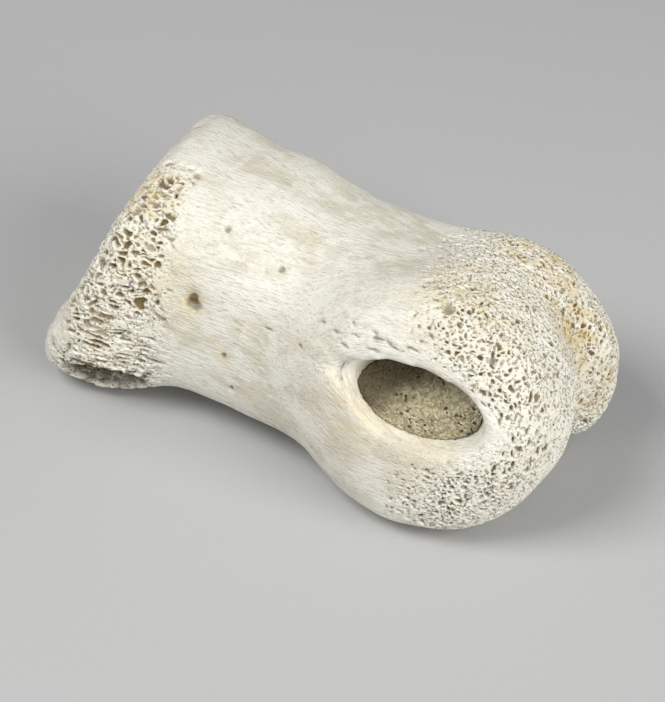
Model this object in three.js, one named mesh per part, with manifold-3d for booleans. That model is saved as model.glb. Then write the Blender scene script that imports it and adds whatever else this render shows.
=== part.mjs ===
// Fossil toe bone of a meat-eating dinosaur, life size, lying on its sole as it would rest on a table.
// Millimetres, +Z up. +X runs along the bone from the joint socket to the two condyles.
// -Y is the near side, whose ligament pit holds a crust of sandstone.
// The forms are built about the condyles' axis with the bone upright, then rolled into the rest pose.
import Module from "manifold-3d";
import * as THREE from "three";
import { mergeVertices } from "three/addons/utils/BufferGeometryUtils.js";

// Rest pose: the far condyle is the smaller one, so the bone lies rolled about its long axis
const ROLL = 0.175;
const AXIS_Z = 14.2;

// Shaft: reach from the axis to either side, the top and the underside, at stations along the bone
const SHAFT = [
  { x: 6, near: 16, far: 17, top: 16, under: 19 },
  { x: 21, near: 13.9, far: 14.1, top: 14.6, under: 15.9 },
  { x: 36, near: 14.2, far: 12, top: 12.6, under: 16 },
  { x: 48, near: 16, far: 12, top: 11, under: 16.5 },
];
const SHAFT_POWER = 2.6;

// Sole: height of the arch over the table at stations along the bone
const SOLE = [
  { x: 7, rise: -0.3 },
  { x: 21, rise: 3.2 },
  { x: 46, rise: -0.3 },
];
const SOLE_EDGE = 4;

// Socket end: an oblique face, hollowed, with a lip under it
const SOCKET = { x: 3.6, lean: 0.43, skew: -0.17, edge: 3.5 };
const DISH = { depth: 3, radius: 13 };
const LIP = { x: 8, y: -7, z: -9.6, length: 14, width: 16, height: 11 };

// Condyles: a tapered roller across the bone, with a groove that widens from the top to the sole
const ROLLER = { x: 53, z: -1.2, skew: 0.07, rise: -0.1, near: 15.4, far: 14.1, edge: 8 };
const CREST_RADIUS = 12.8;
const TAPER = 0.07;
const SOLE_STRETCH = 1.15;
const SOLE_TAPER = 0.009;
const GROOVE = { y: 2, topWidth: 11, topDepth: 0.8, soleWidth: 14, soleDepth: 5 };

// Collateral ligament pits in the outer sides of the condyles
const NEAR_PIT = { x: 51.8, y: -16, z: 1.9, length: 16.6, height: 10, depth: 6.5, tilt: 0.16 };
const FAR_PIT = { x: 50.5, y: 14, z: -2, length: 13, height: 9, depth: 4.5, tilt: 0.1 };
const PIT_SEGMENTS = 36;

// Sandstone crust on the floor of the near pit
const CRUST_GAP = 0.3;
const CRUST_RECESS = 2.2;
const CRUST_TOP = { x: 51, y: -19.5, z: 5.4, length: 22, height: 14, depth: 8.2, tilt: 0.16 };

// Main pores of the spongy ends, in rows round the socket band and over the condyles
const BAND_PORE = { length: 2.6, width: 1.5, height: 1.5 };
const BAND_ROWS = [3.6, 8.2, 12.8];
const BAND_STEPS = 18;
const CONDYLE_PORE = { length: 1.5, width: 2.1, height: 1.5 };
const CONDYLE_COLUMNS = [-11.5, -6.8, -2, 6.5, 10.5];
const CONDYLE_ROWS = 7;
const CONDYLE_SWEEP = { from: -0.75, to: 1.45 };
const PORE_JITTER = 1.1;
const PORE_CLEAR = 3.5;
const PORE_SIDES = 6;

// Single holes where blood vessels entered, at x along the bone and an angle up from the near side
const VESSEL_HOLES = [
  { x: 21.3, angle: 0.22, size: 2.2 },
  { x: 23.4, angle: 0.83, size: 1.3 },
  { x: 31.2, angle: 0.75, size: 1.2 },
  { x: 26, angle: -0.12, size: 1.3 },
  { x: 27, angle: -0.42, size: 1.2 },
  { x: 53.1, angle: 1.02, size: 1.8 },
];

const BLEND = 9;

// The carved blank: a capsule whose points are moved out to the bone's surface
const CORE = { start: 16, end: 48, radius: 5 };
const CAP_RINGS = 17;
const SIDE_RINGS = 28;
const SPOKES = 50;
const MARCH_STEP = 0.25;
const BISECTIONS = 20;

const wasm = await Module();
wasm.setup();

/** Smallest of two distances, rounded where they are closer than the blend. */
function smoothMin(a, b, blend) {
  const share = Math.max(blend - Math.abs(a - b), 0) / blend;
  return Math.min(a, b) - (share * share * blend) / 4;
}

/** Largest of two distances, rounded in the same way. */
function smoothMax(a, b, blend) {
  return -smoothMin(-a, -b, blend);
}

/** One size at x, eased from station to station. */
function sizeAt(stations, x, key) {
  const next = stations.findIndex((station) => x < station.x);
  if (next === 0) return stations[0][key];
  if (next < 0) return stations[stations.length - 1][key];
  const [from, to] = [stations[next - 1], stations[next]];
  return THREE.MathUtils.lerp(from[key], to[key], THREE.MathUtils.smoothstep(x, from.x, to.x));
}

/** Height of a point over the table once the bone is rolled into its rest pose. */
function overTable(p) {
  return AXIS_Z + p.z * Math.cos(ROLL) - p.y * Math.sin(ROLL);
}

/** Distance to the oblique face of the socket, sunk to a shallow dish about its middle. */
function socket(p) {
  const steep = Math.hypot(1, SOCKET.lean, SOCKET.skew);
  const depth = (p.x - SOCKET.x - SOCKET.lean * p.z - SOCKET.skew * p.y) / steep;
  const outSquared = (p.x - SOCKET.x) ** 2 + p.y ** 2 + p.z ** 2 - depth ** 2;
  return DISH.depth * Math.max(0, 1 - outSquared / DISH.radius ** 2) - depth;
}

/** Distance to the shaft, a rounded section that narrows to the waist. */
function shaft(p) {
  const reach = sizeAt(SHAFT, p.x, p.y < 0 ? "near" : "far");
  const height = sizeAt(SHAFT, p.x, p.z < 0 ? "under" : "top");
  const across = Math.abs(p.y / reach) ** SHAFT_POWER;
  const upright = Math.abs(p.z / height) ** SHAFT_POWER;
  const side = ((across + upright) ** (1 / SHAFT_POWER) - 1) * height;
  return smoothMax(smoothMax(side, socket(p), SOCKET.edge), p.x - ROLLER.x, BLEND);
}

/** Distance to the roller that carries both condyles. */
function roller(p) {
  const along = p.x - ROLLER.x - ROLLER.skew * p.y;
  const up = p.z - ROLLER.z - ROLLER.rise * p.y;
  const stretch = up < 0 ? SOLE_STRETCH - SOLE_TAPER * p.y : 1;
  const out = Math.hypot(along, up / stretch);
  const towardsSole = (1 - up / out) / 2;
  const halfWidth = THREE.MathUtils.lerp(GROOVE.topWidth, GROOVE.soleWidth, towardsSole) / 2;
  const depth = THREE.MathUtils.lerp(GROOVE.topDepth, GROOVE.soleDepth, towardsSole);
  const off = (p.y - GROOVE.y) / halfWidth;
  const radius = CREST_RADIUS - TAPER * p.y - depth * Math.max(0, 1 - off * off) ** 2;
  const sides = Math.max(-p.y - ROLLER.near, p.y - ROLLER.far);
  return smoothMax(out - radius, sides, ROLLER.edge);
}

/** Distance to the lip under the socket. */
function lip(p) {
  const x = (p.x - LIP.x) / (LIP.length / 2);
  const y = (p.y - LIP.y) / (LIP.width / 2);
  const z = (p.z - LIP.z) / (LIP.height / 2);
  return ((Math.hypot(x, y, z) - 1) * LIP.height) / 2;
}

/** Distance to the bone before its pits are cut, flat where it rests on the table. */
function bone(p) {
  let d = smoothMin(roller(p), shaft(p), BLEND);
  d = smoothMin(d, lip(p), SOCKET.edge);
  d = smoothMax(d, sizeAt(SOLE, p.x, "rise") - overTable(p), SOLE_EDGE);
  return Math.max(d, -overTable(p));
}

/** The geometry with shared vertices and positions only. */
function positionsOnly(geometry) {
  geometry.deleteAttribute("normal");
  geometry.deleteAttribute("uv");
  return mergeVertices(geometry, 1e-3);
}

/** Moves the point from the seed along the spoke to where the distance is zero. */
function march(distance, seed, spoke, point) {
  let inside = 0;
  let outside = MARCH_STEP;
  while (distance(point.copy(seed).addScaledVector(spoke, outside)) < 0) {
    inside = outside;
    outside += MARCH_STEP;
  }
  for (let n = 0; n < BISECTIONS; n++) {
    const middle = (inside + outside) / 2;
    if (distance(point.copy(seed).addScaledVector(spoke, middle)) < 0) inside = middle;
    else outside = middle;
  }
  return point;
}

/** A capsule blank with every point moved along its spoke to the surface. */
function carve(distance) {
  const length = CORE.end - CORE.start;
  const blank = new THREE.CapsuleGeometry(CORE.radius, length, CAP_RINGS, SPOKES, SIDE_RINGS);
  blank.rotateZ(-Math.PI / 2);
  blank.translate((CORE.start + CORE.end) / 2, 0, 0);
  const geometry = positionsOnly(blank);
  const points = geometry.getAttribute("position");
  const point = new THREE.Vector3();
  const seed = new THREE.Vector3();
  const spoke = new THREE.Vector3();
  for (let i = 0; i < points.count; i++) {
    point.fromBufferAttribute(points, i);
    seed.set(THREE.MathUtils.clamp(point.x, CORE.start, CORE.end), 0, 0);
    spoke.subVectors(point, seed).normalize();
    march(distance, seed, spoke, point);
    points.setXYZ(i, point.x, point.y, point.z);
  }
  return geometry;
}

/** The oval bowl of a ligament pit, smaller all round by the inset. */
function bowl(pit, inset = 0) {
  const ball = new THREE.SphereGeometry(1, PIT_SEGMENTS, PIT_SEGMENTS / 2);
  ball.scale(pit.length / 2 - inset, pit.depth - inset, pit.height / 2 - inset);
  ball.rotateY(pit.tilt);
  ball.translate(pit.x, pit.y, pit.z);
  return ball;
}

/** A repeatable number from -0.5 to 0.5. */
function jitter(n) {
  return THREE.MathUtils.seededRandom(n + 1) - 0.5;
}

/** The hollow of one pore at a point of the surface. */
function pore(size, at) {
  const ball = new THREE.SphereGeometry(1, PORE_SIDES, PORE_SIDES - 2);
  ball.scale(size.length / 2, size.width / 2, size.height / 2);
  ball.translate(at.x, at.y, at.z);
  return solid(ball);
}

/** Pores in rows round the band behind the socket's rim, none on the sole or the dense crest. */
function bandPores() {
  const made = [];
  BAND_ROWS.forEach((row, r) => {
    for (let n = 0; n < BAND_STEPS; n++) {
      const angle = ((n + (r % 2) / 2) / BAND_STEPS) * 2 * Math.PI;
      const [y, z] = [Math.cos(angle), Math.sin(angle)];
      const x = SOCKET.x + row + 15 * SOCKET.lean * z + 14 * SOCKET.skew * y;
      const seed = new THREE.Vector3(Math.max(x + PORE_JITTER * jitter(n + 40 * r), 6), 0, -2);
      const at = march(bone, seed, new THREE.Vector3(0, y, z), new THREE.Vector3());
      const crest = Math.abs(at.y) < 6 && at.z > 0;
      const beyond = row > BAND_ROWS[1] && at.z > 2;
      if (overTable(at) > PORE_CLEAR && !crest && !beyond) made.push(pore(BAND_PORE, at));
    }
  });
  return made;
}

/** Pores in columns over the rolling face of the condyles. */
function condylePores() {
  const made = [];
  CONDYLE_COLUMNS.forEach((y, column) => {
    for (let n = 0; n < CONDYLE_ROWS; n++) {
      const share = (n + (column % 2) / 2) / (CONDYLE_ROWS - 1);
      const angle = THREE.MathUtils.lerp(CONDYLE_SWEEP.from, CONDYLE_SWEEP.to, share);
      const across = y + PORE_JITTER * jitter(n + 50 * column);
      const seed = new THREE.Vector3(ROLLER.x, across, ROLLER.z);
      const spoke = new THREE.Vector3(Math.cos(angle), 0, Math.sin(angle));
      const at = march(bone, seed, spoke, new THREE.Vector3());
      if (overTable(at) > PORE_CLEAR) made.push(pore(CONDYLE_PORE, at));
    }
  });
  return made;
}

/** Holes of the blood vessels. */
function vesselHoles() {
  return VESSEL_HOLES.map(({ x, angle, size }) => {
    const spoke = new THREE.Vector3(0, -Math.cos(angle), Math.sin(angle));
    const at = march(bone, new THREE.Vector3(x, 0, 0), spoke, new THREE.Vector3());
    return pore({ length: 1.3 * size, width: size, height: size }, at);
  });
}

/** A solid made from a closed geometry. */
function solid(geometry) {
  const merged = positionsOnly(geometry);
  const vertProperties = new Float32Array(merged.getAttribute("position").array);
  const triVerts = new Uint32Array(merged.index.array);
  return new wasm.Manifold(new wasm.Mesh({ numProp: 3, vertProperties, triVerts }));
}

/** A named mesh of the solid, rolled into the rest pose. */
function restMesh(name, body, material) {
  const { vertProperties, triVerts } = body.getMesh();
  const geometry = new THREE.BufferGeometry();
  geometry.setAttribute("position", new THREE.BufferAttribute(new Float32Array(vertProperties), 3));
  geometry.setIndex(new THREE.BufferAttribute(new Uint32Array(triVerts), 1));
  geometry.rotateX(-ROLL);
  geometry.translate(0, 0, AXIS_Z);
  const mesh = new THREE.Mesh(geometry, material);
  mesh.name = name;
  return mesh;
}

const pores = wasm.Manifold.union([...bandPores(), ...condylePores(), ...vesselHoles()]);
const toeBone = restMesh(
  "toe_bone",
  solid(carve(bone)).subtract(solid(bowl(NEAR_PIT))).subtract(solid(bowl(FAR_PIT))).subtract(pores),
  new THREE.MeshStandardMaterial({ color: 0xe6dfcc, roughness: 0.85, metalness: 0 }),
);
const pitMatrix = restMesh(
  "pit_matrix",
  solid(bowl(NEAR_PIT, CRUST_GAP))
    .intersect(solid(carve((p) => bone(p) + CRUST_RECESS)))
    .subtract(solid(bowl(CRUST_TOP))),
  new THREE.MeshStandardMaterial({ color: 0xb5a478, roughness: 0.95, metalness: 0 }),
);

const fossil = new THREE.Group();
fossil.add(toeBone, pitMatrix);
const middle = new THREE.Box3().setFromObject(fossil).getCenter(new THREE.Vector3());
fossil.position.set(-middle.x, -middle.y, 0);
export default fossil;
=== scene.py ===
"""A fossil toe bone of a meat-eating dinosaur, lying on its sole on a pale table."""

import logging
import math
from collections.abc import Iterable
from dataclasses import dataclass
from enum import Enum
from typing import ClassVar

import bmesh
import bpy
import numpy as np
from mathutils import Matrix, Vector, noise


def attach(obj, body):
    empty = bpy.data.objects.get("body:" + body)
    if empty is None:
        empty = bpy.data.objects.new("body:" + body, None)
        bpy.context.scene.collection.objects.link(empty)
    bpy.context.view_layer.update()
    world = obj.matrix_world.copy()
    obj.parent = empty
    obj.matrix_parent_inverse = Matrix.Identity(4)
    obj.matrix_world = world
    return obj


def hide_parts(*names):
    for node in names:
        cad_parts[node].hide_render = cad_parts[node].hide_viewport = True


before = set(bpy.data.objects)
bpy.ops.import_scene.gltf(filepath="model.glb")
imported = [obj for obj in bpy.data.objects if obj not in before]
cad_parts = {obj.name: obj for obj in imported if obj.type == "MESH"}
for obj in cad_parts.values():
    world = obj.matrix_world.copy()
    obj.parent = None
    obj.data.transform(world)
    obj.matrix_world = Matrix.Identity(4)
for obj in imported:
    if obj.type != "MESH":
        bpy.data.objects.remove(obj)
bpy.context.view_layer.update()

MM = 0.001
MERGE_DISTANCE = 1e-7
IMAGE_LONG_SIDE = 702
NOISE_SEED = 11
log = logging.getLogger("toe_bone")

Colour = tuple[float, float, float, float]
Place = tuple[float, float, float]
Span = tuple[float, float]


class Zone(Enum):
    """The kinds of spongy surface on the bone, each with its own pores."""

    SOCKET_BAND = "spongy band behind the socket's rim"
    HEEL = "long channels low on the near side"
    CONDYLES = "pin-holed skin of the condyles"


def smooth(low: np.ndarray | float, high: np.ndarray | float, value: np.ndarray) -> np.ndarray:
    """Eases from 0 to 1 between two limits.

    Args:
        low: value that gives 0.
        high: value that gives 1, which may be the smaller one.
        value: numbers to ease.

    Returns:
        The eased numbers.
    """
    share = np.clip((value - low) / (np.asarray(high) - low), 0.0, 1.0)
    return share * share * (3.0 - 2.0 * share)


def unit(value: float) -> float:
    """The number, kept between 0 and 1."""
    return min(1.0, max(0.0, value))


def copy_of_node(name: str, label: str) -> bpy.types.Object:
    """Makes a piece from a merged copy of a CAD node.

    Args:
        name: the CAD node.
        label: name of the new piece.

    Returns:
        The new piece, linked to the scene.
    """
    work = bmesh.new()
    work.from_mesh(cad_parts[name].data)
    bmesh.ops.remove_doubles(work, verts=work.verts, dist=MERGE_DISTANCE)
    mesh = bpy.data.meshes.new(label)
    work.to_mesh(mesh)
    work.free()
    piece = bpy.data.objects.new(label, mesh)
    bpy.context.scene.collection.objects.link(piece)
    return piece


def apply_modifiers(piece: bpy.types.Object) -> None:
    """Replaces a piece's mesh by what its modifiers make of it.

    Args:
        piece: the piece, left with no modifiers.
    """
    depsgraph = bpy.context.evaluated_depsgraph_get()
    mesh = bpy.data.meshes.new_from_object(piece.evaluated_get(depsgraph))
    piece.modifiers.clear()
    piece.data = mesh
    mesh.name = piece.name


def thin_out(piece: bpy.types.Object, most: int) -> None:
    """Merges the flattest triangles of a piece until it has this many.

    Args:
        piece: the piece, all of triangles.
        most: how many triangles are kept.
    """
    thinner = piece.modifiers.new("thin_out", "DECIMATE")
    thinner.ratio = min(1.0, most / len(piece.data.polygons))
    apply_modifiers(piece)


def even_skin(piece: bpy.types.Object, voxel: float) -> None:
    """Gives a closed piece an even mesh of small quads.

    Args:
        piece: the piece whose mesh is replaced.
        voxel: size of the quads in metres.
    """
    remesh = piece.modifiers.new("even_skin", "REMESH")
    remesh.mode = "VOXEL"
    remesh.voxel_size = voxel
    apply_modifiers(piece)


def smooth_points(work: bmesh.types.BMesh, verts: Iterable[bmesh.types.BMVert], passes: int) -> None:
    """Evens out points of a mesh.

    Args:
        work: the mesh.
        verts: the points to even out.
        passes: how many times it is done.
    """
    for _ in range(passes):
        bmesh.ops.smooth_vert(
            work, verts=verts, factor=0.5, use_axis_x=True, use_axis_y=True, use_axis_z=True
        )


def points_and_normals(mesh: bpy.types.Mesh) -> tuple[np.ndarray, np.ndarray]:
    """Reads a mesh.

    Args:
        mesh: the mesh to read.

    Returns:
        Its points in millimetres and its vertex normals.
    """
    points = np.empty(len(mesh.vertices) * 3, np.float32)
    normals = np.empty(len(mesh.vertices) * 3, np.float32)
    mesh.vertices.foreach_get("co", points)
    mesh.vertex_normals.foreach_get("vector", normals)
    return points.reshape(-1, 3).astype(float) / MM, normals.reshape(-1, 3).astype(float)


def move_points(mesh: bpy.types.Mesh, points: np.ndarray) -> None:
    """Writes points back to a mesh and shades it smooth.

    Args:
        mesh: the mesh to change.
        points: its new points in millimetres.
    """
    mesh.vertices.foreach_set("co", (points * MM).astype(np.float32).ravel())
    mesh.polygons.foreach_set("use_smooth", [True] * len(mesh.polygons))
    mesh.update()


def keep_values(mesh: bpy.types.Mesh, name: str, values: np.ndarray) -> None:
    """Keeps a number or a vector for each point, for the material to read.

    Args:
        mesh: the mesh that gets the attribute.
        name: name of the attribute.
        values: one number or three for each point.
    """
    kind, field = ("FLOAT_VECTOR", "vector") if values.ndim == 2 else ("FLOAT", "value")
    attribute = mesh.attributes.new(name, kind, "POINT")
    attribute.data.foreach_set(field, values.astype(np.float32).ravel())


def soft_noise(points: np.ndarray, size: float, octaves: int = 3) -> np.ndarray:
    """Fractal noise at each point.

    Args:
        points: places in millimetres.
        size: size of the largest lumps in millimetres.
        octaves: number of finer layers.

    Returns:
        Numbers of about -1 to 1.
    """
    return np.array([noise.fractal(Vector(p / size), 1.0, 2.0, octaves) for p in points])


@dataclass(frozen=True)
class Layer:
    """One layer of colour: the limits of its noise, and how strong it is."""

    low: float
    high: float
    strength: float = 1.0


class Shading:
    """A node tree with short ways to add to it."""

    def __init__(self, tree: bpy.types.NodeTree) -> None:
        """Empties the tree and starts on it."""
        self.tree = tree
        tree.nodes.clear()

    def add(self, kind: str, **inputs: object) -> bpy.types.Node:
        """Adds a node.

        Args:
            kind: the node's type.
            inputs: values or sockets by input name, with _ for a space.

        Returns:
            The new node.
        """
        node = self.tree.nodes.new(kind)
        for name, value in inputs.items():
            self.feed(node.inputs[name.replace("_", " ")], value)
        return node

    def feed(self, socket: bpy.types.NodeSocket, value: object) -> None:
        """Sets a socket.

        Args:
            socket: the input to set.
            value: its value, or the output to link it to.
        """
        if isinstance(value, bpy.types.NodeSocket):
            self.tree.links.new(value, socket)
        else:
            socket.default_value = value

    def kept(self, name: str, output: str = "Fac") -> bpy.types.NodeSocket:
        """What the mesh keeps for each point.

        Args:
            name: name of the attribute.
            output: Fac for a number, Vector for a vector.

        Returns:
            The kept values.
        """
        node = self.tree.nodes.new("ShaderNodeAttribute")
        node.attribute_name = name
        return node.outputs[output]

    def millimetres(self) -> bpy.types.NodeSocket:
        """Object coordinates in millimetres."""
        where = self.tree.nodes.new("ShaderNodeTexCoord").outputs["Object"]
        return self.stretched(where, (1 / MM, 1 / MM, 1 / MM))

    def stretched(self, vector: bpy.types.NodeSocket, scale: Place) -> bpy.types.NodeSocket:
        """Scales a vector along each axis.

        Args:
            vector: the vector.
            scale: the scale along each axis.

        Returns:
            The scaled vector.
        """
        node = self.add("ShaderNodeMapping", Vector=vector)
        node.inputs["Scale"].default_value = scale
        return node.outputs["Vector"]

    def maths(self, how: str, a: object, b: object) -> bpy.types.NodeSocket:
        """Puts two numbers together.

        Args:
            how: the operation.
            a: the first number.
            b: the second number.

        Returns:
            The result.
        """
        node = self.tree.nodes.new("ShaderNodeMath")
        node.operation = how
        self.feed(node.inputs[0], a)
        self.feed(node.inputs[1], b)
        return node.outputs[0]

    def times(self, a: object, b: object) -> bpy.types.NodeSocket:
        """One number times another."""
        return self.maths("MULTIPLY", a, b)

    def mask(self, layer: Layer, value: object) -> bpy.types.NodeSocket:
        """How much of a layer shows.

        Args:
            layer: the layer.
            value: the noise or number that it follows.

        Returns:
            A number from 0 to the layer's strength.
        """
        node = self.tree.nodes.new("ShaderNodeMapRange")
        node.interpolation_type = "SMOOTHSTEP"
        self.feed(node.inputs["Value"], value)
        node.inputs["From Min"].default_value = layer.low
        node.inputs["From Max"].default_value = layer.high
        return self.times(node.outputs["Result"], layer.strength)

    def mixed(self, share: object, a: object, b: object) -> bpy.types.NodeSocket:
        """Two colours mixed.

        Args:
            share: how much of the second colour.
            a: the first colour.
            b: the second colour.

        Returns:
            The mixed colour.
        """
        node = self.tree.nodes.new("ShaderNodeMix")
        node.data_type = "RGBA"
        factor, first, second = node.inputs[0], node.inputs[6], node.inputs[7]
        self.feed(factor, share)
        self.feed(first, a)
        self.feed(second, b)
        return node.outputs[2]

    def cloud(self, vector: object, scale: float, detail: float) -> bpy.types.NodeSocket:
        """Soft noise.

        Args:
            vector: its coordinates.
            scale: lumps to a unit of the coordinates.
            detail: number of finer layers.

        Returns:
            The noise, from 0 to 1.
        """
        node = self.add("ShaderNodeTexNoise", Vector=vector, Scale=scale, Detail=detail)
        return node.outputs["Fac"]


class SharedGroups:
    """Effects that more than one finish uses, each built once."""

    grit_detail = 6.0

    @staticmethod
    def grit() -> bpy.types.NodeTree:
        """Fine grit: a tone and a height that vary over the surface.

        Returns:
            The node group.
        """
        known = bpy.data.node_groups.get("fine_grit")
        if known:
            return known
        group = bpy.data.node_groups.new("fine_grit", "ShaderNodeTree")
        shading = Shading(group)
        sockets = group.interface
        sockets.new_socket("Vector", in_out="INPUT", socket_type="NodeSocketVector")
        sockets.new_socket("Scale", in_out="INPUT", socket_type="NodeSocketFloat")
        sockets.new_socket("Tone", in_out="OUTPUT", socket_type="NodeSocketFloat")
        sockets.new_socket("Height", in_out="OUTPUT", socket_type="NodeSocketFloat")
        start = group.nodes.new("NodeGroupInput")
        end = group.nodes.new("NodeGroupOutput")
        given = {"Vector": start.outputs["Vector"], "Scale": start.outputs["Scale"]}
        cloud = shading.add("ShaderNodeTexNoise", **given, Detail=SharedGroups.grit_detail)
        grains = shading.add("ShaderNodeTexVoronoi", **given)
        height = shading.maths("SUBTRACT", cloud.outputs["Fac"], grains.outputs["Distance"])
        shading.feed(end.inputs["Tone"], cloud.outputs["Fac"])
        shading.feed(end.inputs["Height"], height)
        return group

    @staticmethod
    def place_grit(shading: Shading, vector: object, scale: float) -> bpy.types.Node:
        """Puts the fine grit into a material.

        Args:
            shading: the material's tree.
            vector: coordinates in millimetres.
            scale: grains to a millimetre.

        Returns:
            The group node, with Tone and Height.
        """
        node = shading.tree.nodes.new("ShaderNodeGroup")
        node.node_tree = SharedGroups.grit()
        shading.feed(node.inputs["Vector"], vector)
        node.inputs["Scale"].default_value = scale
        return node


@dataclass(frozen=True)
class BoneFinish:
    """Cream fossil bone with a fibrous shaft, stained spongy ends, dirt in its pores and painted shade
    in the hollows of its form.
    """

    cream: Colour = (0.80, 0.765, 0.655, 1.0)
    white: Colour = (0.90, 0.885, 0.80, 1.0)
    tan: Colour = (0.66, 0.595, 0.46, 1.0)
    grey: Colour = (0.50, 0.47, 0.39, 1.0)
    ochre: Colour = (0.67, 0.52, 0.22, 1.0)
    # dark brown: dirt in the pores and pin holes, and painted shade in the hollows of the form
    dirt_and_hollow_shade: Colour = (0.25, 0.185, 0.09, 1.0)
    # dark soil in the holes and the break, and painted shade on the near pit's walls
    soil_and_pit_shade: Colour = (0.075, 0.052, 0.024, 1.0)
    roughness: float = 0.82
    specular: float = 0.3

    # Lumps to a millimetre: along the fibres and across them, or along each axis
    streak_scale: Place = (0.17, 2.4, 2.4)
    thread_scale: Place = (0.7, 7.0, 7.0)
    patch_scale: Place = (0.11, 0.2, 0.2)
    mottle_scale: Place = (0.45, 0.6, 0.6)
    pin_scale: Place = (2.1, 2.1, 2.1)
    grit_scale: float = 2.6
    streak_detail: float = 6.0
    thread_detail: float = 4.0
    patch_detail: float = 6.0
    mottle_detail: float = 8.0

    cream_patches: Layer = Layer(0.40, 0.62)
    tan_patches: Layer = Layer(0.50, 0.66, 0.45)
    tan_streaks: Layer = Layer(0.50, 0.70, 0.5)
    grey_threads: Layer = Layer(0.53, 0.68, 0.65)
    white_mottle: Layer = Layer(0.50, 0.62, 0.7)
    white_walls: float = 0.8
    ochre_mottle: Layer = Layer(0.28, 0.70)
    pin_holes: Layer = Layer(0.36, 0.16)
    pin_dirt: float = 0.4
    # the pore mask holds the hollows of the form too, so this layer paints shade there besides dirt in
    # the pores
    pore_dirt_and_hollow_shade: Layer = Layer(0.08, 0.85)

    bump: float = 0.9
    bump_height: float = 0.4
    streak_height: float = 0.36
    thread_height: float = 0.55
    grit_height: float = 0.14
    pin_depth: float = 0.7

    def material(self) -> bpy.types.Material:
        """Builds the bone's material.

        Returns:
            The material.
        """
        made = bpy.data.materials.new("fossil_bone")
        made.use_nodes = True
        s = Shading(made.node_tree)
        where = s.millimetres()
        grain = s.kept("grain", "Vector")
        sponge = s.kept("sponge")
        streak = s.cloud(s.stretched(grain, self.streak_scale), 1.0, self.streak_detail)
        thread = s.cloud(s.stretched(grain, self.thread_scale), 1.0, self.thread_detail)
        patch = s.cloud(s.stretched(grain, self.patch_scale), 1.0, self.patch_detail)
        mottle = s.cloud(s.stretched(where, self.mottle_scale), 1.0, self.mottle_detail)
        grit = SharedGroups.place_grit(s, where, self.grit_scale)
        pin = s.add("ShaderNodeTexVoronoi", Vector=s.stretched(where, self.pin_scale), Scale=1.0)
        pin_hole = s.times(s.mask(self.pin_holes, pin.outputs["Distance"]), sponge)

        colour = s.mixed(s.mask(self.cream_patches, patch), self.white, self.cream)
        colour = s.mixed(s.mask(self.tan_patches, patch), colour, self.tan)
        colour = s.mixed(s.mask(self.tan_streaks, streak), colour, self.tan)
        colour = s.mixed(s.mask(self.grey_threads, thread), colour, self.grey)
        colour = s.mixed(s.mask(self.white_mottle, mottle), colour, self.white)
        colour = s.mixed(s.times(sponge, self.white_walls), colour, self.white)
        stain = s.times(s.kept("ochre"), s.mask(self.ochre_mottle, mottle))
        colour = s.mixed(stain, colour, self.ochre)
        colour = s.mixed(s.times(pin_hole, self.pin_dirt), colour, self.dirt_and_hollow_shade)
        # dirt in the pores, and painted shade in the hollows of the form
        colour = s.mixed(s.mask(self.pore_dirt_and_hollow_shade, s.kept("pore")), colour, self.dirt_and_hollow_shade)
        # soil in the holes and the break, and painted shade on the near pit's walls
        colour = s.mixed(s.kept("soil_and_pit_shade"), colour, self.soil_and_pit_shade)

        height = s.times(streak, self.streak_height)
        height = s.maths("ADD", height, s.times(thread, self.thread_height))
        height = s.maths("ADD", height, s.times(grit.outputs["Height"], self.grit_height))
        height = s.maths("SUBTRACT", height, s.times(pin_hole, self.pin_depth))
        bump = s.add("ShaderNodeBump", Strength=self.bump, Distance=self.bump_height * MM, Height=height)
        shader = s.add("ShaderNodeBsdfPrincipled", Base_Color=colour, Roughness=self.roughness)
        shader.inputs["Specular IOR Level"].default_value = self.specular
        s.feed(shader.inputs["Normal"], bump.outputs["Normal"])
        s.add("ShaderNodeOutputMaterial", Surface=shader.outputs["BSDF"])
        return made


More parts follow.
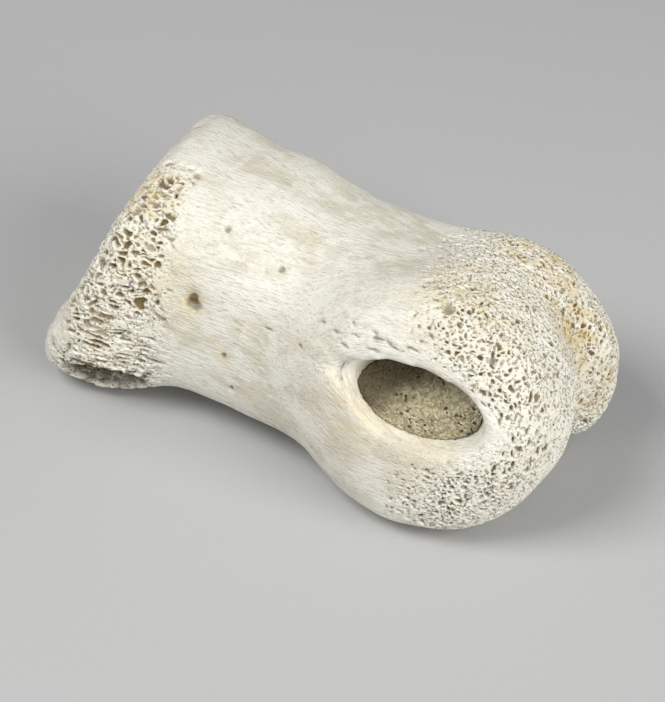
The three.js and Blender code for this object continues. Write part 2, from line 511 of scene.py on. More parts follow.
@dataclass(frozen=True)
class SandstoneFinish:
    """Loose-grained sandstone: tan, pale and a few dark grains, darkened where the crust marks darker
    matrix and painted shade.
    """

    tan: Colour = (0.40, 0.335, 0.19, 1.0)
    pale: Colour = (0.62, 0.565, 0.39, 1.0)
    dark: Colour = (0.075, 0.07, 0.05, 1.0)
    grey: Colour = (0.36, 0.33, 0.27, 1.0)
    # dark brown: darker matrix, and painted shade where the pit's rim shades the crust
    dark_matrix_and_shade: Colour = (0.095, 0.073, 0.04, 1.0)
    roughness: float = 0.95
    specular: float = 0.2
    grit_scale: float = 3.4
    grain_scale: float = 3.3
    clump_scale: float = 0.35
    clump_detail: float = 3.0
    pale_grains: Layer = Layer(0.25, 0.7)
    grey_grit: Layer = Layer(0.5, 0.72)
    dark_grains: Layer = Layer(0.84, 0.9)
    dark_clumps: Layer = Layer(0.48, 0.6)
    bump: float = 0.8
    bump_height: float = 0.3

    def material(self) -> bpy.types.Material:
        """Builds the crust's material.

        Returns:
            The material.
        """
        made = bpy.data.materials.new("sandstone_crust")
        made.use_nodes = True
        s = Shading(made.node_tree)
        where = s.millimetres()
        grit = SharedGroups.place_grit(s, where, self.grit_scale)
        grains = s.add("ShaderNodeTexVoronoi", Vector=where, Scale=self.grain_scale)
        lot = s.add("ShaderNodeSeparateColor", Color=grains.outputs["Color"])
        clump = s.cloud(where, self.clump_scale, self.clump_detail)
        colour = s.mixed(s.mask(self.pale_grains, lot.outputs["Red"]), self.tan, self.pale)
        colour = s.mixed(s.mask(self.grey_grit, grit.outputs["Tone"]), colour, self.grey)
        speck = s.times(s.mask(self.dark_grains, lot.outputs["Green"]), s.mask(self.dark_clumps, clump))
        colour = s.mixed(speck, colour, self.dark)
        # darker matrix and painted shade towards the shaft
        colour = s.mixed(s.kept("dark_matrix_and_shade"), colour, self.dark_matrix_and_shade)
        height = s.maths("SUBTRACT", grit.outputs["Height"], grains.outputs["Distance"])
        bump = s.add("ShaderNodeBump", Strength=self.bump, Distance=self.bump_height * MM, Height=height)
        shader = s.add("ShaderNodeBsdfPrincipled", Base_Color=colour, Roughness=self.roughness)
        shader.inputs["Specular IOR Level"].default_value = self.specular
        s.feed(shader.inputs["Normal"], bump.outputs["Normal"])
        s.add("ShaderNodeOutputMaterial", Surface=shader.outputs["BSDF"])
        return made


@dataclass(frozen=True)
class TableFinish:
    """A plain pale matt table."""

    pale: Colour = (0.47, 0.475, 0.48, 1.0)
    paler: Colour = (0.50, 0.505, 0.51, 1.0)
    roughness: float = 0.9
    grit_scale: float = 1.5

    def material(self) -> bpy.types.Material:
        """Builds the table's material.

        Returns:
            The material.
        """
        made = bpy.data.materials.new("pale_table")
        made.use_nodes = True
        s = Shading(made.node_tree)
        grit = SharedGroups.place_grit(s, s.millimetres(), self.grit_scale)
        colour = s.mixed(grit.outputs["Tone"], self.pale, self.paler)
        shader = s.add("ShaderNodeBsdfPrincipled", Base_Color=colour, Roughness=self.roughness)
        s.add("ShaderNodeOutputMaterial", Surface=shader.outputs["BSDF"])
        return made


@dataclass(frozen=True)
class PoreStyle:
    """How the pores of one zone are made: sizes in millimetres, the rest as shares of a cell."""

    cell: float
    stretch: float
    depth: float
    wall: float
    bend: float
    bend_size: float = 1.6
    wall_slope: float = 0.28
    least_deep: float = 0.55
    more_deep: float = 0.45
    open_gain: float = 1.15
    open_fade: float = 0.15
    fine_cell: float = 0.62
    fine_wall: float = 2.0
    fine_depth: float = 0.5
    least_share: float = 0.03
    lot_step: float = 7.31

    def pores(self, grain: np.ndarray, share: np.ndarray) -> np.ndarray:
        """Cells of spongy bone: open pores between thin walls, with finer cells among them.

        Args:
            grain: coordinates along the fibres.
            share: how many of the cells are open at each point.

        Returns:
            How deep each point lies in a pore, from 0 to 1.
        """
        made = np.zeros(len(grain))
        bend = self.cell * self.bend
        scale = Vector(np.array([1.0 / self.stretch, 1.0, 1.0]) / self.cell)
        for i in np.nonzero(share > self.least_share)[0]:
            place = Vector(grain[i])
            place += bend * noise.noise_vector(place / (self.bend_size * self.cell))
            distance, centre = noise.voronoi(place * scale)
            lot = 0.5 + 0.5 * noise.cell(centre[0] * self.lot_step)
            is_open = unit((share[i] * self.open_gain - lot) / self.open_fade)
            wide = unit((distance[1] - distance[0] - self.wall) / self.wall_slope)
            deep = wide * (self.least_deep + self.more_deep * lot)
            small, _ = noise.voronoi(place * scale / self.fine_cell)
            fine = unit((small[1] - small[0] - self.fine_wall * self.wall) / self.wall_slope)
            made[i] = max(is_open * deep, self.fine_depth * share[i] * fine)
        return made


@dataclass(frozen=True)
class Hole:
    """One blood-vessel hole or crack, placed in the model's frame in millimetres."""

    place: Place
    radius: float
    depth: float
    stretch: float = 1.0
    reach: float = 2.0
    steep: float = 1.3
    ragged: float = 0.45
    ragged_size: float = 0.9
    crack_from: float = 3.0
    crack_bend: float = 0.5
    crack_wave: float = 1.7

    def share(self, points: np.ndarray) -> np.ndarray:
        """How deep each point lies in the hole. A long hole is a crack, and winds.

        Args:
            points: places in the model's frame.

        Returns:
            The share of the hole's depth, from 0 to 1.
        """
        share = np.zeros(len(points))
        away = points - self.place
        close = np.linalg.norm(away, axis=1) < self.reach * self.radius * self.stretch + self.crack_bend
        away, near = away[close], points[close]
        if self.stretch > self.crack_from:
            away[:, 2] += self.crack_bend * soft_noise(near, self.crack_wave, 2)
        away[:, 0] /= self.stretch
        out = np.linalg.norm(away, axis=1) / self.radius
        out *= 1.0 + self.ragged * soft_noise(near, self.ragged_size)
        share[close] = np.clip(self.steep * (1.0 - out**2), 0.0, 1.0)
        return share


@dataclass(frozen=True)
class Stain:
    """One soft stain, placed in the model's frame in millimetres."""

    place: Place
    radius: float
    strength: float
    core: float = 0.2

    def share(self, points: np.ndarray) -> np.ndarray:
        """How strong the stain is at each point of the model."""
        away = np.linalg.norm(points - self.place, axis=1)
        return self.strength * smooth(self.radius, self.core * self.radius, away)


@dataclass(frozen=True)
class UprightFrame:
    """The bone's own frame, before it is rolled into its rest pose, in millimetres."""

    roll: float = 0.175
    start: float = -31.675
    across: float = 0.735
    axis_height: float = 14.2

    def of(self, points: np.ndarray) -> np.ndarray:
        """Turns points of the model into the bone's frame.

        Args:
            points: places in the model's frame.

        Returns:
            Along the bone, across it towards the far side, and up from the condyles' axis.
        """
        y, z = points[:, 1] - self.across, points[:, 2] - self.axis_height
        cos, sin = math.cos(self.roll), math.sin(self.roll)
        return np.stack([points[:, 0] - self.start, y * cos - z * sin, y * sin + z * cos], -1)


@dataclass(frozen=True)
class NearPit:
    """The near ligament pit, an oval in the bone's frame, in millimetres."""

    along: float = 51.8
    up: float = 1.9
    length: float = 8.3
    height: float = 5.0
    tilt: float = 0.16
    rim_share: float = 0.28
    rim_across: float = -10.5
    wall: Span = (0.98, 0.8)
    floor: Span = (-8.0, -9.0)
    mouth: Span = (-15.0, -13.8)
    # the pit's walls: soil and painted shade, with more of both towards the shaft
    least_dark: float = 0.2
    more_dark: float = 0.75
    soil_and_shade_span: Span = (1.0, -6.0)
    soil_and_shade_lean: float = 0.8

    def place(self, bone: np.ndarray) -> tuple[np.ndarray, np.ndarray]:
        """Places relative to the pit.

        Args:
            bone: places in the bone's frame.

        Returns:
            Along the pit's long axis, and across it.
        """
        x, z = bone[:, 0] - self.along, bone[:, 2] - self.up
        cos, sin = math.cos(self.tilt), math.sin(self.tilt)
        return x * cos - z * sin, x * sin + z * cos

    def out(self, bone: np.ndarray) -> np.ndarray:
        """How far each place of the bone lies from the pit's middle, 1 at its rim."""
        along, up = self.place(bone)
        return np.hypot(along / self.length, up / self.height)

    def on_rim(self, bone: np.ndarray) -> np.ndarray:
        """Whether each place of the bone lies on the pit's rim."""
        return (np.abs(self.out(bone) - 1.0) < self.rim_share) & (bone[:, 1] < self.rim_across)

    def soil_and_pit_shade(self, bone: np.ndarray) -> np.ndarray:
        """Brown soil and painted shade on the pit's walls, most of both towards the shaft.

        Args:
            bone: places in the bone's frame.

        Returns:
            The strength of the soil and painted shade at each place.
        """
        along, up = self.place(bone)
        across = bone[:, 1]
        inside = smooth(*self.wall, self.out(bone))
        inside = inside * smooth(*self.floor, across) * smooth(*self.mouth, across)
        towards_shaft = smooth(*self.soil_and_shade_span, along - self.soil_and_shade_lean * up)
        return inside * (self.least_dark + self.more_dark * towards_shaft)


@dataclass(frozen=True)
class SpongeLimits:
    """Where the bone turns spongy, in the bone's frame in millimetres."""

    rim_start: float = 3.6
    rim_lean: float = 0.43
    rim_skew: float = 0.17
    band_width: float = 14.6
    band_lean: float = 0.53
    band_solid: float = 0.55
    crest_near: Span = (-3.5, -9.0)
    crest_far: Span = (10.0, 14.0)
    crest_top: Span = (11.5, 9.0)
    crest_least: float = 0.05
    lobe_edge: Span = (0.5, 4.5)
    lobe_top: Span = (-7.0, 0.0)
    lobe_least: float = 0.12
    socket_facing: float = -0.8
    socket_sponge: float = 0.55
    heel_top: Span = (0.0, -5.0)
    heel_edge: Span = (2.5, 6.0)
    heel_facing: Span = (0.2, -0.5)
    pit_smooth_height: float = 7.5
    near_flank: Span = (-7.0, -13.0)
    low_flank: Span = (-6.0, -12.0)
    condyle_start: float = 44.5
    condyle_slant: float = 0.3
    slant_reach: float = 12.0
    past_pit: float = 10.2
    past_low: float = 2.0
    condyle_fade: Span = (-3.0, 6.0)
    clear_of_pit: Span = (1.0, 1.45)
    pit_side: float = -8.0

    def from_rim(self, bone: np.ndarray) -> np.ndarray:
        """Distance along the bone from the plane of the socket's rim, in millimetres."""
        return bone[:, 0] - self.rim_start - self.rim_lean * bone[:, 2] + self.rim_skew * bone[:, 1]

    def socket_band(self, bone: np.ndarray, normals: np.ndarray) -> np.ndarray:
        """How spongy the band behind the socket's rim is, its heel included.

        Args:
            bone: places in the bone's frame.
            normals: directions that the surface faces.

        Returns:
            A share from 0 to 1 for each place.
        """
        _, v, w = bone.T
        from_rim = self.from_rim(bone)
        width = self.band_width - self.band_lean * w
        crest = smooth(*self.crest_near, v) + smooth(*self.crest_far, v) + smooth(*self.crest_top, w)
        lobe = smooth(*self.lobe_edge, from_rim) + smooth(*self.lobe_top, w)
        band = smooth(width, self.band_solid * width, from_rim)
        band = band * np.clip(crest, self.crest_least, 1.0) * np.clip(lobe, self.lobe_least, 1.0)
        return np.where(normals[:, 0] < self.socket_facing, self.socket_sponge, band)

    def heel(self, bone: np.ndarray, normals: np.ndarray) -> np.ndarray:
        """How much of the socket's band has the heel's long channels.

        Args:
            bone: places in the bone's frame.
            normals: directions that the surface faces.

        Returns:
            A share from 0 to 1 for each place.
        """
        low = smooth(*self.heel_top, bone[:, 2]) * smooth(*self.heel_edge, self.from_rim(bone))
        return low * smooth(*self.heel_facing, normals[:, 1])

    def condyles(self, bone: np.ndarray, pit: NearPit) -> np.ndarray:
        """How spongy the condyles are, clear of the near pit's smooth surround.

        Args:
            bone: places in the bone's frame.
            pit: the near pit.

        Returns:
            A share from 0 to 1 for each place.
        """
        x, v, w = bone.T
        _, up = pit.place(bone)
        flank = smooth(*self.near_flank, v)
        rim = np.exp(-((up / self.pit_smooth_height) ** 2)) * flank
        low = smooth(*self.low_flank, w) * flank
        edge = self.condyle_start + self.condyle_slant * np.clip(-v, 0.0, self.slant_reach)
        edge = edge + self.past_pit * rim + self.past_low * low
        start, end = self.condyle_fade
        condyle = smooth(edge + start, edge + end, x)
        return condyle * smooth(*self.clear_of_pit, pit.out(bone) + (v > self.pit_side))


@dataclass(frozen=True)
class BrokenHeel:
    """The patch broken away under the socket's near corner, in millimetres."""

    place: Place = (-21.5, -15.0, 4.6)
    reach: Place = (6.0, 3.6, 2.6)
    edge: Span = (1.05, 0.75)
    facing: Span = (0.3, 0.0)
    lump_size: float = 1.1
    least_depth: float = 0.5
    more_depth: float = 0.9
    least_dark: float = 0.6
    more_dark: float = 0.4
    rough_from: float = 0.01

    def share(self, points: np.ndarray, normals: np.ndarray) -> np.ndarray:
        """How far the surface is broken away.

        Args:
            points: places in the model's frame.
            normals: directions that the surface faces.

        Returns:
            A share from 0 to 1 for each point.
        """
        away = np.linalg.norm((points - self.place) / self.reach, axis=1)
        return smooth(*self.edge, away) * smooth(*self.facing, normals[:, 2])

    def wear(self, points: np.ndarray, normals: np.ndarray) -> tuple[np.ndarray, np.ndarray]:
        """What the break takes away, and the soil it holds.

        Args:
            points: places in the model's frame.
            normals: directions that the surface faces.

        Returns:
            The depth in millimetres and the strength of the soil at each point.
        """
        broken = self.share(points, normals)
        rough = np.zeros(len(points))
        near = broken > self.rough_from
        rough[near] = 0.5 + 0.5 * soft_noise(points[near], self.lump_size)
        depth = broken * (self.least_depth + self.more_depth * rough)
        return depth, broken * (self.least_dark + self.more_dark * rough)


@dataclass(frozen=True)
class FineMesh:
    """Where the bone's skin is split into smaller quads."""

    levels: int = 2
    sponge: float = 0.12
    round_hole: float = 1.6
    broken: float = 0.05
    near_facing: float = 0.3
    under_facing: float = -0.45
    top_facing: float = 0.5
    socket_facing: float = -0.75

    def finest(self, normals: np.ndarray) -> np.ndarray:
        """Whether each face may have the finest quads: those of the near side and the top."""
        near = (normals[:, 1] < self.near_facing) & (normals[:, 2] > self.under_facing)
        return (near | (normals[:, 2] > self.top_facing)) & (normals[:, 0] > self.socket_facing)


@dataclass
class ToeBone:
    """The bone itself: an even skin over the CAD form, with pores, fibres and stains."""

    voxel: float = 0.55
    soften_passes: int = 3
    rim_passes: int = 10
    hollow_passes: int = 14
    most_triangles: int = 190_000
    # depths in millimetres of the form's hollows where the painted shade starts and where it is full
    hollow_shade: Span = (0.06, 0.3)
    hole_soil: float = 0.6
    sponge_stain: float = 0.12
    lump: float = 0.12
    lump_size: float = 6.0
    ragged: float = 0.3
    ragged_size: float = 1.9
    ragged_span: Span = (3.5, 0.5)
    most_proud: float = 0.12
    funnel: Place = (12.2, -16.0, 21.0)
    funnel_reach: Place = (4.6, 3.0, 2.6)
    funnel_span: Span = (1.0, 0.1)
    funnel_depth: float = 1.3
    fibre_side: Span = (-2.0, -9.0)
    fibre_parting: Span = (9.0, 2.0)
    least_reach: float = 1e-3
    finish: BoneFinish = BoneFinish()
    upright: UprightFrame = UprightFrame()
    pit: NearPit = NearPit()
    limits: SpongeLimits = SpongeLimits()
    heel: BrokenHeel = BrokenHeel()
    fine: FineMesh = FineMesh()

    pores: ClassVar[dict[Zone, PoreStyle]] = {
        Zone.SOCKET_BAND: PoreStyle(cell=0.86, stretch=1.7, depth=0.66, wall=0.11, bend=0.75),
        Zone.HEEL: PoreStyle(cell=0.66, stretch=11.0, depth=0.62, wall=0.08, bend=0.14),
        Zone.CONDYLES: PoreStyle(cell=0.68, stretch=1.2, depth=0.50, wall=0.17, bend=0.75),
    }
    holes: ClassVar[tuple[Hole, ...]] = (
        Hole((-10.2, -12.2, 18.8), 0.8, 0.5, 1.5),
        Hole((-8.4, -7.3, 27.0), 0.6, 0.3),
        Hole((-0.5, -8.7, 25.5), 0.45, 0.3),
        Hole((-5.6, -13.4, 14.0), 0.5, 0.3),
        Hole((-4.5, -13.7, 9.6), 0.45, 0.3),
        Hole((21.2, -9.5, 29.5), 0.7, 0.5, 1.3),
        Hole((27.2, -8.3, 26.6), 0.6, 0.7),
        Hole((27.6, -11.1, 25.7), 0.5, 0.6),
        Hole((17.1, -6.7, 29.6), 0.5, 0.6),
    )
    cracks: ClassVar[tuple[Hole, ...]] = (
        Hole((10.0, -14.1, 24.8), 0.26, 0.4, 6.0),
        Hole((12.0, -14.5, 25.2), 0.22, 0.35, 7.0),
        Hole((13.5, -14.1, 26.3), 0.24, 0.4, 7.0),
        Hole((15.5, -14.5, 26.0), 0.26, 0.45, 6.0),
        Hole((17.4, -14.5, 25.8), 0.22, 0.4, 7.0),
        Hole((19.3, -14.2, 26.1), 0.2, 0.3, 6.0),
        Hole((11.4, -15.0, 24.1), 0.2, 0.3, 7.0),
        Hole((14.8, -15.1, 24.9), 0.2, 0.3, 7.0),
        Hole((7.4, -13.2, 24.4), 0.2, 0.3, 7.0),
        Hole((11.8, -13.5, 26.4), 0.2, 0.3, 6.0),
        Hole((5.2, -14.2, 20.8), 0.2, 0.3, 8.0),
        Hole((0.1, -12.7, 19.7), 0.2, 0.3, 8.0),
    )
    stains: ClassVar[tuple[Stain, ...]] = (
        Stain((-19.1, -7.0, 28.1), 6.0, 0.75),
        Stain((-16.0, -12.0, 21.0), 10.0, 0.35),
        Stain((-22.0, -14.0, 12.0), 9.0, 0.3),
        Stain((23.4, 9.6, 24.1), 10.0, 0.6),
        Stain((29.9, 4.7, 19.8), 9.0, 0.8),
        Stain((31.5, 6.0, 12.0), 10.0, 0.5),
        Stain((22.0, -5.0, 29.0), 12.0, 0.5),
        Stain((12.5, -16.5, 15.5), 7.0, 0.5),
        Stain((22.0, -16.5, 13.5), 6.0, 0.35),
        Stain((-10.4, -12.2, 18.9), 2.4, 0.9),
        Stain((-5.6, -13.4, 14.0), 1.6, 0.8),
        Stain((21.2, -9.5, 29.5), 2.2, 0.8),
    )

    def build(self) -> bpy.types.Object:
        """Makes the bone's mesh, with what its material reads.

        Returns:
            The finished piece.
        """
        piece = copy_of_node("toe_bone", "fossil_toe_bone")
        even_skin(piece, self.voxel * MM)
        self.refine(piece.data)
        mesh = piece.data
        points, normals = points_and_normals(mesh)
        grain = self.grain_of(points)
        zones = self.zones_of(points, normals)
        sponge = np.clip(sum(zones.values()), 0.0, 1.0)
        pore, depth = self.sponge_relief(zones, grain)
        # painted shade: the hollows of the form join the pore mask and get the dirt colour, darker where
        # they lie deeper
        pore = np.maximum(pore, smooth(*self.hollow_shade, self.hollows_of(mesh)))
        depth, soil_and_pit_shade = self.wear_of(points, normals, depth)
        depth += self.funnel_depth * self.funnel_share(points)
        moved = points + normals * (self.lumps_of(points) - depth)[:, None]
        moved[:, 2] = np.maximum(moved[:, 2], 0.0)
        move_points(mesh, moved)
        keep_values(mesh, "grain", grain)
        keep_values(mesh, "sponge", sponge)
        # pores, with the hollows of the form for painted shade
        keep_values(mesh, "pore", pore)
        keep_values(mesh, "ochre", self.stain_of(points, sponge))
        # soil in the holes and the break, and the near pit's painted shade
        keep_values(mesh, "soil_and_pit_shade", np.clip(soil_and_pit_shade, 0.0, 1.0))
        thin_out(piece, self.most_triangles)
        return piece

    def refine(self, mesh: bpy.types.Mesh) -> None:
        """Smooths the skin, and splits its quads where pores come.

        Args:
            mesh: the mesh to work on.
        """
        work = bmesh.new()
        work.from_mesh(mesh)
        smooth_points(work, work.verts, self.soften_passes)
        self.round_pit_rim(work)
        self.mark_hollows(work)
        for level in range(self.fine.levels):
            work.normal_update()
            centres = np.array([face.calc_center_median() for face in work.faces]) / MM
            normals = np.array([face.normal for face in work.faces])
            wanted = self.wants_fine(centres, normals)
            if level > 0:
                wanted &= self.fine.finest(normals)
            chosen = {edge for face, take in zip(work.faces, wanted) if take for edge in face.edges}
            edges = [edge for edge in work.edges if edge in chosen]
            bmesh.ops.subdivide_edges(work, edges=edges, cuts=1, use_grid_fill=True)
        bmesh.ops.triangulate(work, faces=work.faces)
        work.to_mesh(mesh)
        work.free()

    def wants_fine(self, centres: np.ndarray, normals: np.ndarray) -> np.ndarray:
        """Whether each face carries pores, a hole, a crack or the break.

        Args:
            centres: middles of the faces in the model's frame.
            normals: directions that the faces look.

        Returns:
            True or False for each face.
        """
        wanted = sum(self.zones_of(centres, normals).values()) > self.fine.sponge
        for hole in self.holes + self.cracks:
            away = np.linalg.norm(centres - hole.place, axis=1)
            wanted |= away < self.fine.round_hole * hole.radius * hole.stretch
        return wanted | (self.heel.share(centres, normals) > self.fine.broken)

    def round_pit_rim(self, work: bmesh.types.BMesh) -> None:
        """Rounds the mouth of the near pit.

        Args:
            work: the even skin.
        """
        points = np.array([vert.co for vert in work.verts]) / MM
        rim = self.pit.on_rim(self.upright.of(points))
        smooth_points(work, [vert for vert, take in zip(work.verts, rim) if take], self.rim_passes)

    def mark_hollows(self, work: bmesh.types.BMesh) -> None:
        """Keeps how deep each point lies in a hollow of the form, in millimetres.

        Args:
            work: the even skin.
        """
        hollow = work.verts.layers.float.new("hollow")
        work.normal_update()
        before = [(vert.co.copy(), vert.normal.copy()) for vert in work.verts]
        smooth_points(work, work.verts, self.hollow_passes)
        for vert, (place, normal) in zip(work.verts, before):
            vert[hollow] = (vert.co - place).dot(normal) / MM
            vert.co = place

    def hollows_of(self, mesh: bpy.types.Mesh) -> np.ndarray:
        """How deep each point lies in a hollow of the form, in millimetres.

        Args:
            mesh: the refined skin.

        Returns:
            The kept depths.
        """
        hollow = np.empty(len(mesh.vertices), np.float32)
        mesh.attributes["hollow"].data.foreach_get("value", hollow)
        return hollow

    def grain_of(self, points: np.ndarray) -> np.ndarray:
        """Coordinates that run along the bone's fibres and part round the near pit.

        Args:
            points: places in the model's frame.

        Returns:
            Along the fibres, and two ways across them, in millimetres.
        """
        bone = self.upright.of(points)
        along, up = self.pit.place(bone)
        across = up / self.pit.height
        reach = (along / self.pit.length) ** 2 + across**2
        near = smooth(*self.fibre_side, bone[:, 1]) * smooth(*self.fibre_parting, np.sqrt(reach))
        parted = across * (1.0 - np.minimum(1.0, 1.0 / np.maximum(reach, self.least_reach)))
        shift = (parted - across) * self.pit.height * near
        return np.stack([bone[:, 0], bone[:, 1], bone[:, 2] + shift], -1)

    def zones_of(self, points: np.ndarray, normals: np.ndarray) -> dict[Zone, np.ndarray]:
        """How spongy the bone is in each zone.

        Args:
            points: places in the model's frame.
            normals: directions that the surface faces.

        Returns:
            A share from 0 to 1 for each zone and point.
        """
        bone = self.upright.of(points)
        band = self.limits.socket_band(bone, normals)
        heel = self.limits.heel(bone, normals)
        return {
            Zone.SOCKET_BAND: band * (1.0 - heel),
            Zone.HEEL: band * heel,
            Zone.CONDYLES: self.limits.condyles(bone, self.pit),
        }

    def sponge_relief(
        self, zones: dict[Zone, np.ndarray], grain: np.ndarray
    ) -> tuple[np.ndarray, np.ndarray]:
        """The pores of all zones.

        Args:
            zones: how spongy the bone is in each zone.
            grain: coordinates along the fibres.

        Returns:
            How far each point lies in a pore, from 0 to 1, and its depth in millimetres.
        """
        pore, depth = np.zeros(len(grain)), np.zeros(len(grain))
        for zone, share in zones.items():
            style = self.pores[zone]
            zone_pore = style.pores(grain, share)
            pore = np.maximum(pore, zone_pore)
            depth = np.maximum(depth, zone_pore * style.depth)
        return pore, depth

    def wear_of(
        self, points: np.ndarray, normals: np.ndarray, depth: np.ndarray
    ) -> tuple[np.ndarray, np.ndarray]:
        """Adds the holes, the cracks and the break to the pores.

        Args:
            points: places in the model's frame.
            normals: directions that the surface faces.
            depth: depth of the pores in millimetres.

        Returns:
            The new depth in millimetres and the strength of the soil, with the near pit's painted shade,
            at each point.
        """
        # the near pit's walls: soil and painted shade, darker towards the shaft
        soil_and_pit_shade = self.pit.soil_and_pit_shade(self.upright.of(points))
        for hole in self.holes + self.cracks:
            sunk = hole.share(points)
            depth = np.maximum(depth, sunk * hole.depth)
            soil_and_pit_shade = np.maximum(soil_and_pit_shade, sunk * self.hole_soil)
        broken_depth, broken_soil = self.heel.wear(points, normals)
        return depth + broken_depth, np.maximum(soil_and_pit_shade, broken_soil)

    def funnel_share(self, points: np.ndarray) -> np.ndarray:
        """How deep each point lies in the shallow funnel at the near pit's tip.

        Args:
            points: places in the model's frame.

        Returns:
            The share of the funnel's depth, from 0 to 1.
        """
        away = (points - self.funnel) / self.funnel_reach
        return smooth(*self.funnel_span, np.linalg.norm(away, axis=1))

    def lumps_of(self, points: np.ndarray) -> np.ndarray:
        """Soft lumps all over, and a ragged edge at the socket's rim.

        Args:
            points: places in the model's frame.

        Returns:
            How proud each point stands, in millimetres.
        """
        lumps = self.lump * soft_noise(points, self.lump_size)
        ragged = smooth(*self.ragged_span, self.limits.from_rim(self.upright.of(points)))
        lumps += self.ragged * ragged * soft_noise(points, self.ragged_size, 2)
        return np.minimum(lumps, self.most_proud)

    def stain_of(self, points: np.ndarray, sponge: np.ndarray) -> np.ndarray:
        """Ochre staining of the spongy ends.

        Args:
            points: places in the model's frame.
            sponge: how spongy the bone is.

        Returns:
            The strength of the stain at each point.
        """
        stain = self.sponge_stain * sponge
        for spot in self.stains:
            stain = np.maximum(stain, spot.share(points))
        return stain

    def dress(self, piece: bpy.types.Object) -> None:
        """Gives the bone its finish and its place in the frame.

        Args:
            piece: the bone.
        """
        piece.data.materials.clear()
        piece.data.materials.append(self.finish.material())
        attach(piece, "root")
        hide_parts("toe_bone")


@dataclass
class PitMatrix:
    """The crust of sandstone in the near pit."""

    voxel: float = 0.22
    fill: float = 0.16
    most_proud: float = 0.2
    grain_size: float = 0.6
    grain_height: float = 0.22
    lump: float = 0.06
    lump_size: float = 2.2
    lump_span: Span = (-1.0, 0.5)
    middle: Place = (19.7, -11.3, 17.2)
    # strength of the darker matrix and painted shade towards the shaft
    dark_matrix_and_shade: float = 0.9
    dark_matrix_and_shade_span: Span = (-1.0, 6.0)
    dark_matrix_and_shade_lean: float = 1.3
    dark_matrix_and_shade_ragged: float = 1.5
    finish: SandstoneFinish = SandstoneFinish()

    def build(self) -> bpy.types.Object:
        """Makes the crust with its rough grains, and darker matrix with painted shade towards the shaft.

        Returns:
            The finished piece.
        """
        piece = copy_of_node("pit_matrix", "sandstone_in_pit")
        even_skin(piece, self.voxel * MM)
        points, normals = points_and_normals(piece.data)
        grains = np.array([noise.voronoi(Vector(p / self.grain_size))[0][0] for p in points])
        lumps = soft_noise(points, self.lump_size)
        out = self.fill - self.grain_height * grains + self.lump * np.clip(lumps, *self.lump_span)
        move_points(piece.data, points + normals * np.minimum(out, self.most_proud)[:, None])
        # darker matrix and painted shade, growing towards the shaft and the top of the pit
        along, _, up = (points - self.middle).T
        towards_shaft = up * self.dark_matrix_and_shade_lean - along + self.dark_matrix_and_shade_ragged * lumps
        keep_values(piece.data, "dark_matrix_and_shade", self.dark_matrix_and_shade * smooth(*self.dark_matrix_and_shade_span, towards_shaft))
        return piece

    def dress(self, piece: bpy.types.Object) -> None:
        """Gives the crust its finish and its place in the frame.

        Args:
            piece: the crust.
        """
        piece.data.materials.clear()
        piece.data.materials.append(self.finish.material())
        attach(piece, "root")
        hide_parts("pit_matrix")


@dataclass(frozen=True)
class Lamp:
    """One soft square lamp: its place and side in metres, and its power in watts."""

    name: str
    place: Place
    side: float
    power: float
    tint: Place
    aim: Place = (0.0, 0.0, 0.015)

    def build(self) -> None:
        """Hangs the lamp, pointing at the bone."""
        data = bpy.data.lights.new(self.name, "AREA")
        data.size = self.side
        data.energy = self.power
        data.color = self.tint
        lamp = bpy.data.objects.new(self.name, data)
        lamp.location = self.place
        lamp.rotation_euler = (Vector(self.aim) - Vector(self.place)).to_track_quat("-Z", "Y").to_euler()
        bpy.context.scene.collection.objects.link(lamp)


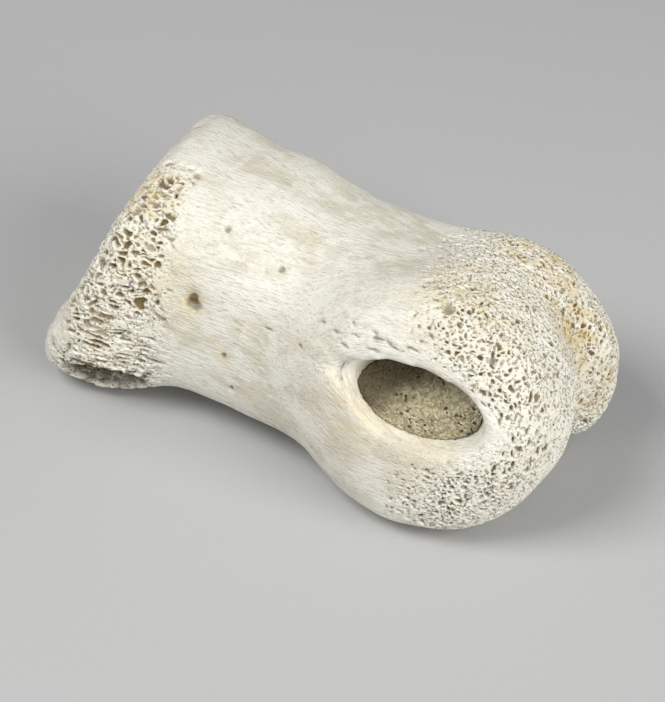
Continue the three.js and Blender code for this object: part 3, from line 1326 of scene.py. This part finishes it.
@dataclass
class Studio:
    """The table, the soft lights and the camera."""

    table_size: float = 3.0
    azimuth: float = 30.304
    elevation: float = 40.392
    target: Place = (2.712, -2.812, 10.496)
    distance: float = 320.0
    pixels_per_mm: float = 8.577
    sensor: float = 36.0
    clip: Span = (0.01, 10.0)
    sky: Colour = (0.93, 0.96, 1.0, 1.0)
    sky_strength: float = 0.19
    lamps: tuple[Lamp, ...] = (
        Lamp("key", (-0.16, -0.24, 0.42), 0.24, 1.75, (1.0, 0.985, 0.955)),
        Lamp("fill", (0.46, -0.12, 0.26), 0.40, 2.6, (1.0, 0.985, 0.96)),
    )
    finish: TableFinish = TableFinish()

    def build_table(self) -> bpy.types.Object:
        """Makes the table that the bone lies on.

        Returns:
            The table.
        """
        work = bmesh.new()
        bmesh.ops.create_grid(work, x_segments=1, y_segments=1, size=self.table_size / 2)
        mesh = bpy.data.meshes.new("table")
        work.to_mesh(mesh)
        work.free()
        table = bpy.data.objects.new("table", mesh)
        table.data.materials.append(self.finish.material())
        bpy.context.scene.collection.objects.link(table)
        return table

    def build_lights(self) -> None:
        """Makes the lamps and the pale surroundings."""
        for lamp in self.lamps:
            lamp.build()
        world = bpy.data.worlds.new("pale_room")
        world.use_nodes = True
        surroundings = world.node_tree.nodes["Background"]
        surroundings.inputs["Color"].default_value = self.sky
        surroundings.inputs["Strength"].default_value = self.sky_strength
        bpy.context.scene.world = world
        bpy.context.scene.view_settings.view_transform = "Standard"

    def build_camera(self) -> bpy.types.Object:
        """Makes the camera at the photograph's viewing angle.

        Returns:
            The camera.
        """
        data = bpy.data.cameras.new("camera")
        data.sensor_width = self.sensor
        data.lens = self.pixels_per_mm * self.distance / IMAGE_LONG_SIDE * self.sensor
        data.clip_start, data.clip_end = self.clip
        around, up = math.radians(self.azimuth), math.radians(self.elevation)
        flat = math.cos(up)
        back = Vector((math.sin(around) * flat, -math.cos(around) * flat, math.sin(up)))
        camera = bpy.data.objects.new("camera", data)
        camera.location = (Vector(self.target) + back * self.distance) * MM
        camera.rotation_euler = (-back).to_track_quat("-Z", "Y").to_euler()
        bpy.context.scene.collection.objects.link(camera)
        bpy.context.scene.camera = camera
        return camera


def main() -> None:
    """Builds the studio, the bone and the crust in its pit."""
    logging.basicConfig(level=logging.INFO, format="%(name)s: %(message)s")
    noise.seed_set(NOISE_SEED)
    studio = Studio()
    studio.build_camera()
    studio.build_table()
    studio.build_lights()
    for part in (ToeBone(), PitMatrix()):
        piece = part.build()
        part.dress(piece)
        log.info("%s: %d triangles", piece.name, sum(len(p.vertices) - 2 for p in piece.data.polygons))


if __name__ == "__main__":
    main()
